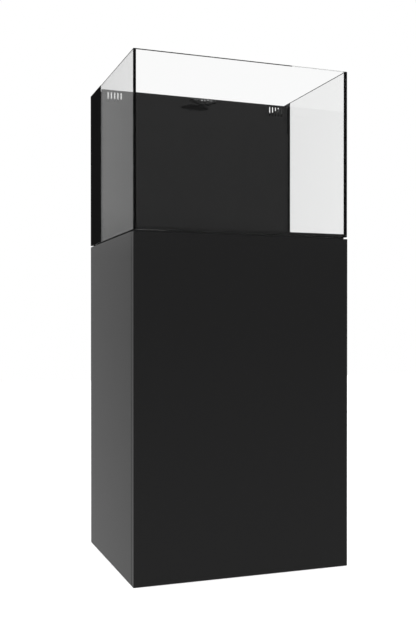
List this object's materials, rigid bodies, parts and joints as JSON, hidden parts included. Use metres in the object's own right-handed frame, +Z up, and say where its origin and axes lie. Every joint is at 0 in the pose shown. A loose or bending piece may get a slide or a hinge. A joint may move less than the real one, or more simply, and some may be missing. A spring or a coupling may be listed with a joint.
{
  "type": "aquarium on stand",
  "caption": "Rimless glass tank with a rear filter section and twin-outlet return, on a plain black cabinet with a push-to-open door.",
  "frame": {"origin": "on the floor, at the middle of the footprint", "axes": "+Z up, the door and the viewing pane face -Y, +X to the right when seen from the front"},
  "size_m": [0.6006, 0.5003, 1.346],
  "materials": {
    "black_lacquer": "black high-gloss lacquered board",
    "black_board": "black melamine-faced board",
    "clear_glass": "low-iron float glass with polished edges",
    "black_film": "self-adhesive black film",
    "silicone": "black sealant",
    "black_acrylic": "polished black acrylic",
    "black_plastic": "moulded black plastic",
    "gloss_abs": "polished moulded black plastic",
    "foam": "closed-cell foam",
    "steel": "nickel-plated steel",
    "zinc": "zinc die casting",
    "beech": "fluted beech dowel",
    "glide_plastic": "hard plastic glide",
    "rubber": "soft black rubber",
    "hose": "smoke-grey silicone tube",
    "floss": "white filter floss",
    "sponge": "coarse open-cell filter sponge",
    "bio_ceramic": "porous sintered ceramic",
    "ceramic": "polished ceramic shaft",
    "magnet": "plastic-bonded magnet"
  },
  "bodies": {
    "stand": {"floor_glides": "glide_plastic", "left_side_panel": "black_lacquer", "right_side_panel": "black_lacquer", "bottom_panel": "black_board", "top_panel": "black_board", "back_panel": "black_board", "front_rail": "black_board", "panel_dowels": "beech", "cam_locks": "zinc", "cam_bolts": "steel", "foam_mat": "foam", "hinge_arms": "zinc", "hinge_screws": "steel", "latch_body": "black_plastic", "latch_screws": "steel", "bottom_pane": "clear_glass", "front_pane": "clear_glass", "back_pane": "clear_glass", "left_pane": "clear_glass", "right_pane": "clear_glass", "corner_joints": "silicone", "bottom_joint": "silicone", "side_films": "black_film", "back_film": "black_film", "filter_wall": "black_acrylic", "comb_guides": "black_acrylic", "left_baffle": "black_acrylic", "right_baffle": "black_acrylic", "pump_body": "black_plastic", "pump_volute": "black_plastic", "pump_strainer": "black_plastic", "impeller_shaft": "ceramic", "pump_feet": "rubber", "cable_gland": "rubber", "return_hose": "hose", "hose_clamps": "steel", "return_elbow": "gloss_abs", "elbow_nut": "gloss_abs"},
    "hinge_links": {"hinge_links": "steel"},
    "door": {"door": "black_lacquer", "hinge_cups": "steel", "cup_screws": "steel", "latch_strike": "steel"},
    "latch": {"latch_plunger": "black_plastic"},
    "left_comb": {"left_comb": "black_acrylic"},
    "right_comb": {"right_comb": "black_acrylic"},
    "left_basket": {"left_basket": "black_acrylic", "left_floss": "floss", "left_sponge": "sponge", "left_bio_block": "bio_ceramic"},
    "right_basket": {"right_basket": "black_acrylic", "right_floss": "floss", "right_sponge": "sponge", "right_bio_block": "bio_ceramic"},
    "impeller": {"impeller": "magnet"},
    "nozzle": {"nozzle_hub": "gloss_abs"},
    "left_outlet": {"left_outlet": "gloss_abs"},
    "right_outlet": {"right_outlet": "gloss_abs"}
  },
  "joints": [
    {"name": "hinge_link_slide", "type": "slide", "parent": "stand", "child": "hinge_links", "axis": [0, -1, 0], "range_m": [0, 0.0146]},
    {"name": "door_hinge", "type": "hinge", "parent": "hinge_links", "child": "door", "pos_m": [0.288, -0.238, 0.448], "axis": [0, 0, 1], "range_deg": [0, 110]},
    {"name": "latch_press", "type": "slide", "parent": "stand", "child": "latch", "axis": [0, 1, 0], "range_m": [0, 0.002], "stiffness_N_per_m": 400, "springref_m": -0.005},
    {"name": "left_comb_lift", "type": "slide", "parent": "stand", "child": "left_comb", "axis": [0, 0, 1], "range_m": [0, 0.09]},
    {"name": "right_comb_lift", "type": "slide", "parent": "stand", "child": "right_comb", "axis": [0, 0, 1], "range_m": [0, 0.09]},
    {"name": "left_basket_lift", "type": "slide", "parent": "stand", "child": "left_basket", "axis": [0, 0, 1], "range_m": [0, 0.4]},
    {"name": "right_basket_lift", "type": "slide", "parent": "stand", "child": "right_basket", "axis": [0, 0, 1], "range_m": [0, 0.4]},
    {"name": "impeller_spin", "type": "hinge", "parent": "stand", "child": "impeller", "pos_m": [0, 0.1835, 0.956], "axis": [1, 0, 0], "continuous": true},
    {"name": "nozzle_turn", "type": "hinge", "parent": "stand", "child": "nozzle", "pos_m": [0, 0.095, 1.317], "axis": [0, 1, 0], "range_deg": [-90, 90]},
    {"name": "right_outlet_tilt", "type": "hinge", "parent": "nozzle", "child": "right_outlet", "pos_m": [0.01678, 0.08608, 1.317], "axis": [0.4695, 0.8829, 0], "range_deg": [-20, 20]},
    {"name": "left_outlet_tilt", "type": "hinge", "parent": "nozzle", "child": "left_outlet", "pos_m": [-0.01678, 0.08608, 1.317], "axis": [-0.4695, 0.8829, 0], "range_deg": [-20, 20]}
  ],
  "couplings": [
    {"joint": "hinge_link_slide", "follows": "door_hinge", "m_per_rad": 0.0075}
  ]
}
